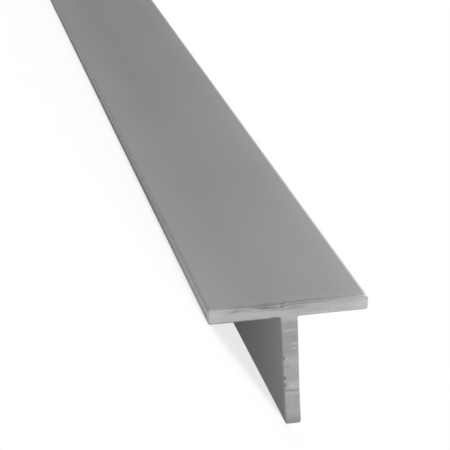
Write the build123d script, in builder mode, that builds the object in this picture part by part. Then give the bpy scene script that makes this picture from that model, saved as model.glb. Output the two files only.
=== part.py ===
"""Extruded aluminium T-bar, a plain length of stock.

One piece: a flat flange on a web, with the softened edges and root fillets of an extrusion and a sawn,
deburred end at both sides. The foot of the web is too narrow to stand on, so the bar lies as it comes to
rest, tipped over to the left onto an edge of the flange and an edge of the foot. X runs across the bar, Y
along it and Z up, and the origin is on the floor under the middle of the bar. Lengths are millimetres.
"""

import os

from build123d import *

# Driving dimensions
bar_length = 1000.0
flange_width = 25.0
overall_height = 20.0
flange_thickness = 2.5
web_thickness = 2.5
edge_radius = 0.4
root_radius = 0.3
end_break = 0.25

web_height = overall_height - flange_thickness
overhang = (flange_width - web_thickness) / 2

# The T-section, drawn upright from the middle of the foot of its web
with BuildSketch() as section:
    Rectangle(web_thickness, web_height, align=(Align.CENTER, Align.MIN))
    with Locations((0, web_height)):
        Rectangle(flange_width, flange_thickness, align=(Align.CENTER, Align.MIN))
    roots = section.vertices().sort_by_distance((0, web_height))[:2]
    fillet(roots, root_radius)
    foot_corners = section.vertices().group_by(Axis.Y)[0]
    left_tip, right_tip = (section.vertices().group_by(Axis.X)[side] for side in (0, -1))
    fillet([*foot_corners, *left_tip, *right_tip], edge_radius)

# Tipped over until the left corners of the flange and of the foot are level
tip_angle = Vector(1, 0).get_angle(Vector(overhang, web_height))
with BuildSketch() as tipped_section:
    add(section.sketch, rotation=tip_angle)
reach = tipped_section.sketch.bounding_box()

# The bar: the tipped section, set down on the floor and drawn out to half its length each way
with BuildPart() as t_bar:
    with BuildSketch(Plane.XZ):
        with Locations((-reach.center().X, -reach.min.Y)):
            add(tipped_section.sketch)
    extrude(amount=bar_length / 2, both=True)

    # The burr is broken off all round both sawn ends
    sawn_ends = t_bar.faces().filter_by(Axis.Y)
    chamfer(sawn_ends.edges(), end_break)

t_bar.part.label = "t_bar"

os.makedirs("parts", exist_ok=True)
export_step(t_bar.part, "parts/t_bar.step")
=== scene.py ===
"""Dresses the extruded aluminium T-bar as one sawn length of satin mill-finish metal.

The bar is shaped upright, on the foot of its web, with X across the flange, Y along the bar and Z up. It is
then tipped over and laid where the solid part lies. Lengths are metres.
"""

from math import atan2, exp, pi, prod, radians

import bmesh
import bpy
from mathutils import Matrix, Vector, noise


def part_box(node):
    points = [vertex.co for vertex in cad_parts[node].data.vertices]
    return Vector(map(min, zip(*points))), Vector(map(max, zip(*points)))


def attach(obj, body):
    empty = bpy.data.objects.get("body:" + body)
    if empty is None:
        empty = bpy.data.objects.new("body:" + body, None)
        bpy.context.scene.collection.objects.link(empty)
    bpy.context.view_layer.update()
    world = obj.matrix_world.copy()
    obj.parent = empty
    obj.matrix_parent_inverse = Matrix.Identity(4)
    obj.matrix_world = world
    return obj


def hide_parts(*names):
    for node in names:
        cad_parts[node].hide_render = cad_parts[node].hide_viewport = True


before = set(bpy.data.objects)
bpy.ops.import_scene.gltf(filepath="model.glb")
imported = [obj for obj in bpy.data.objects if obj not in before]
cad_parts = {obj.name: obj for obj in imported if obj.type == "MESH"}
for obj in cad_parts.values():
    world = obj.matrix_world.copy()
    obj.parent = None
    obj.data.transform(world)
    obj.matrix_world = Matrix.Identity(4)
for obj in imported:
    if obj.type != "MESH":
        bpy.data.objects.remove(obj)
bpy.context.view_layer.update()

mm = 0.001

# The bar's section
flange_width = 25 * mm
overall_height = 20 * mm
flange_thickness = 2.5 * mm
web_thickness = 2.5 * mm
edge_radius = 0.4 * mm
root_radius = 0.3 * mm
end_break = 0.25 * mm
edge_steps = 6
root_steps = 4
break_steps = 2

# How strongly shading follows the largest faces, which keeps the flat sides flat
largest_faces_weight = 100

# The bar as it lies
lying_low, lying_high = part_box("t_bar")
bar_length = lying_high.y - lying_low.y
half_length = bar_length / 2
web_height = overall_height - flange_thickness
overhang = (flange_width - web_thickness) / 2
tip_angle = atan2(web_height, overhang)

# How finely the ends are cut up for their saw marks and burrs
end_zone = 2.5 * mm
end_step = 0.125 * mm

# How squarely a face looks along the bar to be one of its ends, and to show cut metal
end_facing = 0.9
cut_facing = 0.5

# Saw marks: depth, spacing up the end and across it, depth and size of duller patches, and how far they reach
# in along the bar
saw_depth = 0.012 * mm
saw_pitch = 0.45 * mm
saw_run = 5 * mm
dull_depth = 0.03 * mm
dull_size = 1.6 * mm
mark_reach = 1.5 * end_break

# Where the patterns of each end, and of its duller patches, start in the noise
near_seed = 3
far_seed = 11
dull_seed = 5

# How far the saw has spread the right side of the web and the flange's upper right corner at the near end
web_spread = 0.25 * mm
web_spread_reach = 4 * mm
web_spread_start_share = 0.2
corner_spread = 0.2 * mm
corner_spread_reach = 2 * mm

# Rolled-over top edge: how far down the end it reaches, and its raggedness
roll_reach = 2 * mm
rag_size = 0.7 * mm
rag_share = 0.08

# Where the painted light and shade of the roll, of its lip and of the end just under the lip fade, as shares
# of
# the end break: down from the top, and in from the end
roll_down_shares = (2, 0)
lip_down_shares = (0.5, 0.1)
lip_inward_shares = (3, 1)
under_lip_low_shares = (1.2, 0.6)
under_lip_high_shares = (0.2, 0.5)
under_lip_inward_shares = (2, 1)
# Painted light that lifts the shade on the end just under the lip
under_lip_painted_light = 1.2

# The rolled edge, left to right as each end is faced: place across the flange, drop and length along the bar
# in millimetres, and shares of the metal's tone on the roll and on its lip, which are painted light and shade
near_roll = [
    (-12.5, 0.0, 1.0, 0.93, 0.72),
    (-10.8, 0.05, 1.0, 0.97, 0.76),
    (-9.5, 0.08, 1.0, 0.97, 0.68),
    (-6.7, 0.2, 1.0, 0.97, 0.55),
    (-4.4, 0.75, 1.2, 1.04, 0.52),
    (-2.5, 0.8, 1.2, 1.04, 0.6),
    (-1.9, 0.85, 1.2, 1.08, 0.74),
    (-1.0, 0.85, 1.2, 1.12, 0.64),
    (-0.4, 0.6, 1.4, 1.1, 0.85),
    (0.4, 0.5, 1.5, 1.05, 0.75),
    (2.4, 0.45, 1.9, 1.0, 0.77),
    (3.7, 0.45, 2.0, 1.02, 0.84),
    (5, 0.45, 2.1, 1.0, 0.84),
    (7, 0.45, 2.2, 1.1, 0.87),
    (9.5, 0.4, 2.2, 1.2, 0.87),
    (11.5, 0.3, 2.0, 1.25, 0.88),
    (12.5, 0.25, 1.8, 1.2, 0.9),
]
far_roll = [
    (-12.5, 0.2, 1.4, 1.1, 1.0),
    (-5, 0.4, 1.6, 1.1, 0.9),
    (2, 0.7, 1.2, 1.0, 0.55),
    (5.5, 0.3, 1.0, 0.95, 0.65),
    (12.5, 0.1, 1.0, 1.0, 0.9),
]

# Marks on the ends: place across and up, half width, half height and depth in millimetres (raised where
# negative), and share of the metal's tone, partly the marks' own tone and partly painted shade and highlight
near_marks = [
    (1.0, 19.5, 1.8, 0.4, 0, 0.72),
    (1.2, 18.9, 2.0, 0.6, 0, 0.9),
    (5.5, 19.5, 3.0, 0.4, 0, 0.9),
    (9.5, 19.6, 2.2, 0.3, 0, 0.84),
    (8.6, 19.2, 1.2, 0.2, 0, 1.08),
    (4.2, 18.4, 1.9, 0.25, 0.03, 0.84),
    (8.6, 18.1, 1.2, 0.15, 0.02, 0.87),
    (7.2, 18.1, 0.2, 0.15, 0.06, 1.1),
    (7.5, 17.6, 4.5, 0.35, 0, 1.15),
    (11.8, 18.6, 1.8, 1.0, 0, 1.15),
    (-11.8, 18.6, 1.0, 1.2, 0, 1.15),
    (-8.8, 19.2, 0.8, 0.14, 0.03, 0.78),
    (-8.0, 19.4, 0.5, 0.25, 0.02, 0.8),
    (-8.5, 19.6, 1.6, 0.3, 0, 0.88),
    (-6.6, 19.5, 1.6, 0.35, 0, 0.8),
    (-2.6, 19.75, 2.2, 0.25, 0, 0.7),
    (-5.2, 18.05, 2.2, 0.08, 0.02, 0.85),
    (-7.5, 17.5, 5.0, 0.2, 0, 0.5),
    (-2.2, 17.6, 0.6, 0.18, 0.1, 0.65),
    (0, 14.1, 2.0, 2.6, 0, 0.87),
    (0, 16.5, 1.3, 0.3, -0.03, 0.95),
    (0, 15.4, 1.1, 0.18, 0.05, 1.4),
    (0.75, 13.2, 0.5, 0.2, 0.05, 1.4),
    (0.65, 12.4, 0.45, 0.17, 0.05, 1.45),
    (0, 11.9, 1.5, 0.5, 0, 0.92),
    (0.3, 10.5, 1.2, 0.9, 0, 1.12),
    (-1.15, 10.85, 0.3, 0.25, 0.15, 0.5),
    (-0.72, 10.75, 0.2, 0.2, -0.05, 1.35),
    (-0.6, 9.4, 0.5, 0.3, 0.02, 0.88),
    (-1.2, 7.7, 0.3, 0.26, 0.18, 0.5),
    (-0.2, 7.4, 0.6, 0.3, 0.02, 0.92),
    (-1.15, 6.45, 0.28, 0.22, 0.13, 0.55),
    (0.4, 6.4, 1.1, 0.6, 0, 1.22),
    (0, 5.5, 1.6, 0.12, 0.06, 0.76),
    (0, 5.05, 1.6, 0.15, -0.03, 1.25),
    (-0.35, 3.9, 0.2, 0.16, -0.05, 1.15),
    (0, 0.4, 1.8, 0.8, 0, 0.76),
]
far_marks = [
    (0, 13.6, 1.3, 0.14, 0.05, 1.2),
    (0.2, 11, 1.2, 0.9, 0, 1.1),
    (-0.6, 9.2, 0.5, 0.14, 0.05, 1.2),
    (1.15, 6.9, 0.25, 0.2, 0.15, 0.7),
    (0, 3.4, 1.6, 0.12, 0.06, 0.8),
    (0, 0.5, 1.6, 0.6, 0, 0.85),
    (4.2, 19.2, 0.45, 0.15, 0.14, 0.8),
]

# Metal: tone and roughness as extruded and as sawn
extruded_tone = (0.465, 0.495)
extruded_roughness = (0.345, 0.375)
sawn_tone = (0.41, 0.45)
sawn_roughness = 0.5

# Grain of the metal: patterns to a metre across, along and up the bar, and the part of the noise that is used
die_line_grain = (1500, 4, 1500)
mottle_grain = (90, 25, 90)
streak_grain = (260, 20, 2200)
noise_span = (0.3, 0.7)
die_line_strength = 0.05
die_line_height = 0.02 * mm

# Share of the metal's tone on the web's sawn end, and how far below the flange it fades out, as shares of
# the root radius
web_end_share = 0.82
web_end_fade_shares = (3, 1)

# Shares of the metal's tone for the painted shade at the foot of the web and the painted light along the
# flange's sides, and shares of the flange's width from its middle at which these bands of painted light stop
foot_painted_shade_share = 0.86
left_painted_light_share = 1.2
left_band_end_share = -0.1
right_painted_light_share = 1.11
right_band_start_share = 0.3

# Painted shade and highlight lines along the flange's rounded upper edges: place in and down from the corner
# and reach, as shares of the edge radius, and share of the metal's tone
painted_shade_left_line = ((0.2, 0.4), (0.15, 0.6), 0.6)
painted_highlight_left_line = ((0.65, 0), (0.1, 0.5), 1.2)
painted_highlight_right_line = ((0.3, 0.3), (0.5, 1.6), 1.5)

# What a ramp is set by, in order
ramp_sockets = ("From Min", "From Max", "To Min", "To Max")

# Camera, measured from the foot of the near end with the bar upright
camera_place = Vector((-56.58, -324.55, 129.99)) * mm
camera_turn = radians(8.33)
camera_tilt = radians(16.44)
camera_roll = radians(3.1)
camera_lens = 181.2
camera_clip = (0.01, 100)
sensor_width = 36.0


def lying_matrix():
    """Tips the upright bar over to the left and sets it down in the solid's box."""
    turn = Matrix.Rotation(-tip_angle, 4, "Y")
    flange_corner = Vector((edge_radius - flange_width / 2, 0, overall_height - edge_radius))
    foot_corner = Vector((edge_radius - web_thickness / 2, 0, edge_radius))
    left = (turn @ flange_corner).x - edge_radius
    low = (turn @ foot_corner).z - edge_radius
    middle = (lying_low.y + lying_high.y) / 2
    return Matrix.Translation((lying_low.x - left, middle, lying_low.z - low)) @ turn


lying = lying_matrix()


def make_tee(bm):
    """A flange block with the web drawn down from the middle of its underside."""
    block = Matrix.Translation((0, 0, overall_height - flange_thickness / 2)) @ Matrix.Diagonal(
        (flange_width, bar_length, flange_thickness, 1)
    )
    bmesh.ops.create_cube(bm, size=1, matrix=block)
    underside = min(bm.faces, key=lambda face: face.calc_center_median().z)
    geom = [underside, *underside.edges, *underside.verts]
    for side in (-1, 1):
        plane = Vector((side * web_thickness / 2, 0, 0))
        geom = bmesh.ops.bisect_plane(bm, geom=geom, plane_co=plane, plane_no=(1, 0, 0))["geom"]
    strips = [part for part in geom if isinstance(part, bmesh.types.BMFace)]
    web_top = min(strips, key=lambda face: abs(face.calc_center_median().x))
    foot = bmesh.ops.extrude_discrete_faces(bm, faces=[web_top])["faces"][0]
    bmesh.ops.translate(bm, verts=foot.verts, vec=(0, 0, -web_height))
    bm.normal_update()
    seams = [edge for edge in bm.edges if all(abs(face.normal.y) > end_facing for face in edge.link_faces)]
    bmesh.ops.dissolve_edges(bm, edges=seams)


def along_bar(edge):
    return abs(edge.verts[0].co.y - edge.verts[1].co.y) > half_length


def soften_edges(bm):
    """Rounds the long outer edges and fills the two roots."""
    long_edges = [edge for edge in bm.edges if along_bar(edge)]
    roots = [edge for edge in long_edges if edge.calc_face_angle_signed() < 0]
    outer = [edge for edge in long_edges if edge not in roots]
    for edges, radius, steps in ((outer, edge_radius, edge_steps), (roots, root_radius, root_steps)):
        bmesh.ops.bevel(bm, geom=edges, offset=radius, offset_type="OFFSET", segments=steps, profile=0.5,
                        affect="EDGES", material=-1)


def break_ends(bm):
    """Takes the burr off all round both sawn ends."""
    ends = [face for face in bm.faces if abs(face.normal.y) > end_facing]
    rims = {edge for face in ends for edge in face.edges}
    bmesh.ops.bevel(bm, geom=list(rims), offset=end_break, offset_type="OFFSET", segments=break_steps,
                    profile=0.5, affect="EDGES", material=-1)


def cut_places(low, high):
    """Evenly spaced places between two limits, about one end step apart."""
    count = round((high - low) / end_step)
    return [low + (high - low) * k / count for k in range(1, count)]


def dice_end(bm, side):
    """Cuts one end of the bar up finely enough to carry saw marks."""
    start = half_length - end_zone
    everything = [*bm.verts, *bm.edges, *bm.faces]
    bmesh.ops.bisect_plane(bm, geom=everything, plane_co=(0, side * start, 0), plane_no=(0, 1, 0))
    faces = [face for face in bm.faces if side * face.calc_center_median().y > start]
    edges = {edge for face in faces for edge in face.edges}
    verts = {vert for face in faces for vert in face.verts}
    geom = [*verts, *edges, *faces]
    cuts = {
        (1, 0, 0): cut_places(-flange_width / 2, flange_width / 2),
        (0, 0, 1): cut_places(0, overall_height),
        (0, 1, 0): [side * place for place in cut_places(start, half_length)],
    }
    for normal, places in cuts.items():
        for place in places:
            cut = bmesh.ops.bisect_plane(bm, geom=geom, plane_co=Vector(normal) * place, plane_no=normal)
            geom = cut["geom"]


def fade(value, start, stop):
    """Smooth share that goes from 0 at start to 1 at stop."""
    share = min(max((value - start) / (stop - start), 0), 1)
    return share * share * (3 - 2 * share)


def roll_at(roll, across):
    """Drop and length of the rolled edge at a place across the flange, and painted light and shade of roll
    and lip.
    """
    across = min(max(across / mm, roll[0][0]), roll[-1][0])
    for (start, *first), (stop, *last) in zip(roll, roll[1:]):
        if across <= stop:
            share = (across - start) / (stop - start)
            drop, length, roll_light_and_shade, lip_light_and_shade = (a + (b - a) * share for a, b in zip(first, last))
            return drop * mm, length * mm, roll_light_and_shade, lip_light_and_shade


def marks_at(marks, across, up):
    """Depth and tone that the marks on an end come to at one point of it; the tone is partly painted light
    and shade.
    """
    depth, tone = 0, 1
    for place_across, place_up, half_width, half_height, mark, mark_tone_and_shade in marks:
        reach = ((across / mm - place_across) / half_width) ** 2 + ((up / mm - place_up) / half_height) ** 2
        share = exp(-reach)
        depth += mark * mm * share
        tone *= 1 + (mark_tone_and_shade - 1) * share
    return depth, tone


def saw_marks(across, up, seed):
    """Depth of the fine lines that the blade leaves across an end, and of its duller patches."""
    lines = noise.noise(Vector((across / saw_run, up / saw_pitch, seed)))
    patches = noise.noise(Vector((across / dull_size, up / dull_size, seed + dull_seed)))
    return saw_depth * (1 + lines) / 2 + dull_depth * (1 + patches) / 2


def spread_end(bm):
    """Draws the right side of the web and the flange's upper right corner out a little at the near end."""
    tip = flange_width / 2
    for vert in bm.verts:
        inward = half_length + vert.co.y
        if inward > end_zone:
            continue
        by_web = fade(vert.co.x, 0, web_thickness / 2) * fade(vert.co.x, web_spread_reach, web_thickness / 2)
        web_share = by_web * fade(vert.co.z, web_spread_start_share * web_height, web_height)
        by_tip = fade(vert.co.x, tip - corner_spread_reach, tip)
        corner_share = by_tip * fade(vert.co.z, web_height, overall_height)
        vert.co.x += (web_spread * web_share + corner_spread * corner_share) * (1 - inward / end_zone) ** 2


def shape_end(bm, side, roll, marks, seed):
    """Rolls the top edge of one end over, cuts its saw marks and nicks, and paints their light and shade."""
    tone = bm.verts.layers.float["tone"]
    for vert in bm.verts:
        inward = half_length - side * vert.co.y
        if inward > end_zone:
            continue
        across, up = -side * vert.co.x, vert.co.z
        face_share = 1 - fade(inward, 0, mark_reach)
        depth, mark_tone_and_shade = marks_at(marks, across, up)
        vert.co.y -= side * (depth + saw_marks(across, up, seed)) * face_share
        drop, length, roll_light_and_shade, lip_light_and_shade = roll_at(roll, across)
        ragged = 1 + rag_share * noise.noise(Vector((across / rag_size, seed, 0)))
        top_share = fade(up, overall_height - roll_reach, overall_height)
        vert.co.z -= drop * ragged * top_share * max(1 - inward / length, 0) ** 2
        breaks_down, breaks_in = (overall_height - up) / end_break, inward / end_break
        on_roll = fade(breaks_down, *roll_down_shares) * fade(inward, length, end_break)
        on_lip = fade(breaks_down, *lip_down_shares) * fade(breaks_in, *lip_inward_shares)
        under_lip = fade(breaks_down, *under_lip_low_shares) * fade(breaks_down, *under_lip_high_shares)
        under_lip *= fade(breaks_in, *under_lip_inward_shares)
        # Painted light and shade: the marks' tones, and the roll, its lip and the end under the lip
        shares = (
            (mark_tone_and_shade, face_share),
            (roll_light_and_shade, on_roll),
            (lip_light_and_shade, on_lip),
            (under_lip_painted_light, under_lip),
        )
        vert[tone] = prod(1 + (part_tone - 1) * share for part_tone, share in shares)


def make_bar():
    bm = bmesh.new()
    make_tee(bm)
    soften_edges(bm)
    break_ends(bm)
    for side in (-1, 1):
        dice_end(bm, side)
    bm.normal_update()
    for face in bm.faces:
        face.smooth = True
        face.material_index = 1 if abs(face.normal.y) > cut_facing else 0
    tone = bm.verts.layers.float.new("tone")
    for vert in bm.verts:
        vert[tone] = 1
    shape_end(bm, -1, near_roll, near_marks, near_seed)
    shape_end(bm, 1, far_roll, far_marks, far_seed)
    spread_end(bm)
    bmesh.ops.transform(bm, matrix=lying, verts=bm.verts)
    mesh = bpy.data.meshes.new("sawn_t_bar")
    bm.to_mesh(mesh)
    bm.free()
    bar = bpy.data.objects.new("sawn_t_bar", mesh)
    bpy.context.scene.collection.objects.link(bar)
    weighted = bar.modifiers.new("flat faces stay flat", "WEIGHTED_NORMAL")
    weighted.weight = largest_faces_weight
    return bar


class Metal:
    """A bare aluminium surface whose patterns are laid out along the upright bar."""

    def __init__(self, name):
        self.material = bpy.data.materials.new(name)
        self.material.use_nodes = True
        self.nodes, self.links = self.material.node_tree.nodes, self.material.node_tree.links
        self.shader = self.nodes["Principled BSDF"]
        self.shader.inputs["Metallic"].default_value = 1
        coordinates = self.nodes.new("ShaderNodeTexCoord")
        upright = self.nodes.new("ShaderNodeMapping")
        upright.vector_type = "TEXTURE"
        upright.inputs["Location"].default_value = lying.translation
        upright.inputs["Rotation"].default_value = lying.to_euler()
        self.links.new(coordinates.outputs["Object"], upright.inputs["Vector"])
        self.place = upright.outputs["Vector"]

    def stretched(self, scale):
        """The place on the bar, stretched along each of its axes."""
        stretch = self.nodes.new("ShaderNodeMapping")
        stretch.inputs["Scale"].default_value = scale
        self.links.new(self.place, stretch.inputs["Vector"])
        return stretch.outputs["Vector"]

    def grain(self, scale, detail=2):
        """Soft noise with its own grain size along each of the bar's axes."""
        cloud = self.nodes.new("ShaderNodeTexNoise")
        cloud.inputs["Scale"].default_value = 1
        cloud.inputs["Detail"].default_value = detail
        self.links.new(self.stretched(scale), cloud.inputs["Vector"])
        return cloud.outputs["Fac"]

    def spread(self, value, start, stop, low, high, smooth=False):
        """Turns a range of values into another range."""
        ramp = self.nodes.new("ShaderNodeMapRange")
        ramp.interpolation_type = "SMOOTHSTEP" if smooth else "LINEAR"
        for name, number in zip(ramp_sockets, (start, stop, low, high)):
            ramp.inputs[name].default_value = number
        self.links.new(value, ramp.inputs["Value"])
        return ramp.outputs["Result"]

    def times(self, first, *others):
        for other in others:
            product = self.nodes.new("ShaderNodeMath")
            product.operation = "MULTIPLY"
            self.links.new(first, product.inputs[0])
            self.links.new(other, product.inputs[1])
            first = product.outputs["Value"]
        return first

    def measured(self, axis):
        """The place on the bar along one of its axes."""
        split = self.nodes.new("ShaderNodeSeparateXYZ")
        self.links.new(self.place, split.inputs["Vector"])
        return split.outputs[axis]

    def painted(self):
        """The share of its tone that each point of the ends was given, partly painted light and shade."""
        attribute = self.nodes.new("ShaderNodeAttribute")
        attribute.attribute_name = "tone"
        return attribute.outputs["Fac"]

    def distance_from_line(self, across, up):
        """Distance from a line along the bar at one place of the section."""
        apart = self.nodes.new("ShaderNodeVectorMath")
        apart.operation = "DISTANCE"
        apart.inputs[1].default_value = (across, 0, up)
        self.links.new(self.stretched((1, 0, 1)), apart.inputs[0])
        return apart.outputs["Value"]

    def set(self, socket, value):
        self.links.new(value, self.shader.inputs[socket])

    def raise_by(self, height, strength, distance):
        bump = self.nodes.new("ShaderNodeBump")
        bump.inputs["Strength"].default_value = strength
        bump.inputs["Distance"].default_value = distance
        self.links.new(height, bump.inputs["Height"])
        self.links.new(bump.outputs["Normal"], self.shader.inputs["Normal"])


def painted_edge_line(metal, side, place_shares, reach_shares, tone_share):
    """A painted line of shade or highlight along the flange's left or right upper edge."""
    inward, down = (share * edge_radius for share in place_shares)
    start, stop = (share * edge_radius for share in reach_shares)
    apart = metal.distance_from_line(side * (flange_width / 2 - inward), overall_height - down)
    return metal.spread(apart, start, stop, tone_share, 1, smooth=True)


def extruded_finish():
    """Satin metal with faint die lines, painted light along the flange's sides, painted lines on its edges
    and painted shade down the web.
    """
    metal = Metal("extruded_aluminium")
    die_lines = metal.grain(die_line_grain)
    mottle = metal.grain(mottle_grain, detail=3)
    tone = metal.spread(mottle, *noise_span, *extruded_tone)
    across = metal.measured("X")
    # Painted light: lighter bands along the flange's left and right sides
    left_band_end = left_band_end_share * flange_width
    right_band_start = right_band_start_share * flange_width
    left_painted_light = metal.spread(across, -flange_width / 2, left_band_end, left_painted_light_share, 1, smooth=True)
    right_painted_light = metal.spread(across, right_band_start, flange_width / 2, 1, right_painted_light_share, smooth=True)
    # Painted shade along the left rounded edge, and painted highlights on the left and right rounded edges
    painted_edge_shade = painted_edge_line(metal, -1, *painted_shade_left_line)
    soft = painted_edge_line(metal, -1, *painted_highlight_left_line)
    light = painted_edge_line(metal, 1, *painted_highlight_right_line)
    # Painted shade: the web darker towards its foot
    down_web = metal.spread(metal.measured("Z"), 0, web_height, foot_painted_shade_share, 1)
    shares = (left_painted_light, right_painted_light, painted_edge_shade, soft, light, down_web, metal.painted())
    metal.set("Base Color", metal.times(tone, *shares))
    # The painted shade of the left edge line and of the web's foot also dims the specular tint
    metal.set("Specular Tint", metal.times(painted_edge_shade, down_web))
    metal.set("Roughness", metal.spread(die_lines, *noise_span, *extruded_roughness))
    metal.raise_by(die_lines, die_line_strength, die_line_height)
    return metal.material


def sawn_finish():
    """Cut metal, streaked across by the blade and darker down the web."""
    metal = Metal("sawn_aluminium")
    streaks = metal.grain(streak_grain, detail=3)
    tone = metal.spread(streaks, *noise_span, *sawn_tone)
    start, stop = (web_height - share * root_radius for share in web_end_fade_shares)
    down_web = metal.spread(metal.measured("Z"), start, stop, web_end_share, 1, smooth=True)
    metal.set("Base Color", metal.times(tone, down_web, metal.painted()))
    metal.shader.inputs["Roughness"].default_value = sawn_roughness
    return metal.material


bar = make_bar()
bar.data.materials.append(extruded_finish())
bar.data.materials.append(sawn_finish())
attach(bar, "root")
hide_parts("t_bar")

# The set: a white floor and board. The floor's white shows in metal only in part, and less along the bar
floor_reach = 40.0
floor_tone = 0.97
floor_glow = 0.78
floor_glow_in_metal = (0.275, 0.1)
glow_fades_between = (10 * mm, 70 * mm)
backdrop_distance = 9.0
backdrop_size = (2.6, 2.6)

# The sky's lightest side and the range of its brightness
sky_light_side = (0.4, 0, 0.9)
sky_ramp = (0, 1, 0.2, 1.4)

# Strength, width and direction of the two lights
back_light = (0.05 * pi, radians(50), (0.08, -1, -0.9))
front_light = (0.2 * pi, radians(50), (-0.35, 1, -0.25))


def make_floor():
    bm = bmesh.new()
    bmesh.ops.create_grid(bm, x_segments=1, y_segments=1, size=floor_reach / 2)
    mesh = bpy.data.meshes.new("floor")
    bm.to_mesh(mesh)
    bm.free()
    floor = bpy.data.objects.new("floor", mesh)
    bpy.context.scene.collection.objects.link(floor)
    material = bpy.data.materials.new("white_floor")
    material.use_nodes = True
    shader = material.node_tree.nodes["Principled BSDF"]
    shader.inputs["Base Color"].default_value = (floor_tone, floor_tone, floor_tone, 1)
    shader.inputs["Roughness"].default_value = 1
    shader.inputs["Specular IOR Level"].default_value = 0
    lighten_shadow(material, shader)
    mesh.materials.append(material)
    return floor


def lighten_shadow(material, shader):
    """Mixes white into the floor as seen directly, and less of it, fading along the bar, as seen in metal."""
    nodes, links = material.node_tree.nodes, material.node_tree.links
    path = nodes.new("ShaderNodeLightPath")
    coordinates = nodes.new("ShaderNodeTexCoord")
    split = nodes.new("ShaderNodeSeparateXYZ")
    links.new(coordinates.outputs["Object"], split.inputs["Vector"])
    fading = nodes.new("ShaderNodeMapRange")
    start, stop = (lying_low.y + place for place in glow_fades_between)
    glow_ramp = (start, stop, *floor_glow_in_metal)
    for name, number in zip(ramp_sockets, glow_ramp):
        fading.inputs[name].default_value = number
    links.new(split.outputs["Y"], fading.inputs["Value"])
    in_metal = nodes.new("ShaderNodeMath")
    links.new(path.outputs["Is Glossy Ray"], in_metal.inputs[0])
    links.new(path.outputs["Is Transmission Ray"], in_metal.inputs[1])
    faded = nodes.new("ShaderNodeMath")
    faded.operation = "MULTIPLY"
    links.new(in_metal.outputs["Value"], faded.inputs[0])
    links.new(fading.outputs["Result"], faded.inputs[1])
    share = nodes.new("ShaderNodeMath")
    share.operation = "MULTIPLY_ADD"
    share.inputs[1].default_value = floor_glow
    links.new(path.outputs["Is Camera Ray"], share.inputs[0])
    links.new(faded.outputs["Value"], share.inputs[2])
    white = nodes.new("ShaderNodeEmission")
    mix = nodes.new("ShaderNodeMixShader")
    links.new(share.outputs["Value"], mix.inputs["Fac"])
    links.new(shader.outputs["BSDF"], mix.inputs[1])
    links.new(white.outputs["Emission"], mix.inputs[2])
    links.new(mix.outputs["Shader"], nodes["Material Output"].inputs["Surface"])


def make_world():
    """A soft sky, light overhead and to the right, and dim to the left."""
    world = bpy.data.worlds.new("studio")
    bpy.context.scene.world = world
    world.use_nodes = True
    nodes, links = world.node_tree.nodes, world.node_tree.links
    coordinates = nodes.new("ShaderNodeTexCoord")
    towards = nodes.new("ShaderNodeVectorMath")
    towards.operation = "DOT_PRODUCT"
    towards.inputs[1].default_value = Vector(sky_light_side).normalized()
    ramp = nodes.new("ShaderNodeMapRange")
    for name, number in zip(ramp_sockets, sky_ramp):
        ramp.inputs[name].default_value = number
    links.new(coordinates.outputs["Generated"], towards.inputs[0])
    links.new(towards.outputs["Value"], ramp.inputs["Value"])
    links.new(ramp.outputs["Result"], nodes["Background"].inputs["Color"])


def add_sun(name, strength, angle, direction):
    light = bpy.data.lights.new(name, "SUN")
    light.energy = strength
    light.angle = angle
    lamp = bpy.data.objects.new(name, light)
    lamp.rotation_mode = "QUATERNION"
    lamp.rotation_quaternion = Vector(direction).to_track_quat("-Z", "Y")
    bpy.context.scene.collection.objects.link(lamp)


def make_camera():
    data = bpy.data.cameras.new("camera")
    data.lens = camera_lens
    data.sensor_width = sensor_width
    data.clip_start, data.clip_end = camera_clip
    camera = bpy.data.objects.new("camera", data)
    bpy.context.scene.collection.objects.link(camera)
    place = Matrix.Translation(camera_place - Vector((0, half_length, 0)))
    aim = (Matrix.Rotation(-camera_turn, 4, "Z") @ Matrix.Rotation(pi / 2 - camera_tilt, 4, "X")
           @ Matrix.Rotation(-camera_roll, 4, "Z"))
    camera.matrix_world = lying @ place @ aim
    bpy.context.scene.camera = camera
    return camera


def make_backdrop(camera):
    view = camera.matrix_world.to_3x3() @ Vector((0, 0, -1))
    level = Vector((view.x, view.y, 0)).normalized()
    middle = camera.matrix_world.translation + level * backdrop_distance
    middle.z = backdrop_size[1] / 2
    bm = bmesh.new()
    stand = Matrix.LocRotScale(middle, level.to_track_quat("-Z", "Y"), Vector((*backdrop_size, 1)))
    bmesh.ops.create_grid(bm, x_segments=1, y_segments=1, size=0.5, matrix=stand)
    mesh = bpy.data.meshes.new("backdrop")
    bm.to_mesh(mesh)
    bm.free()
    backdrop = bpy.data.objects.new("backdrop", mesh)
    bpy.context.scene.collection.objects.link(backdrop)
    material = bpy.data.materials.new("white_board")
    material.use_nodes = True
    shader = material.node_tree.nodes["Principled BSDF"]
    shader.inputs["Base Color"].default_value = (0, 0, 0, 1)
    shader.inputs["Emission Color"].default_value = (1, 1, 1, 1)
    shader.inputs["Emission Strength"].default_value = 1
    shader.inputs["Specular IOR Level"].default_value = 0
    mesh.materials.append(material)
    return backdrop


floor = make_floor()
make_world()
add_sun("back", *back_light)
add_sun("front", *front_light)
camera = make_camera()
backdrop = make_backdrop(camera)
bpy.context.scene.view_settings.view_transform = "Standard"
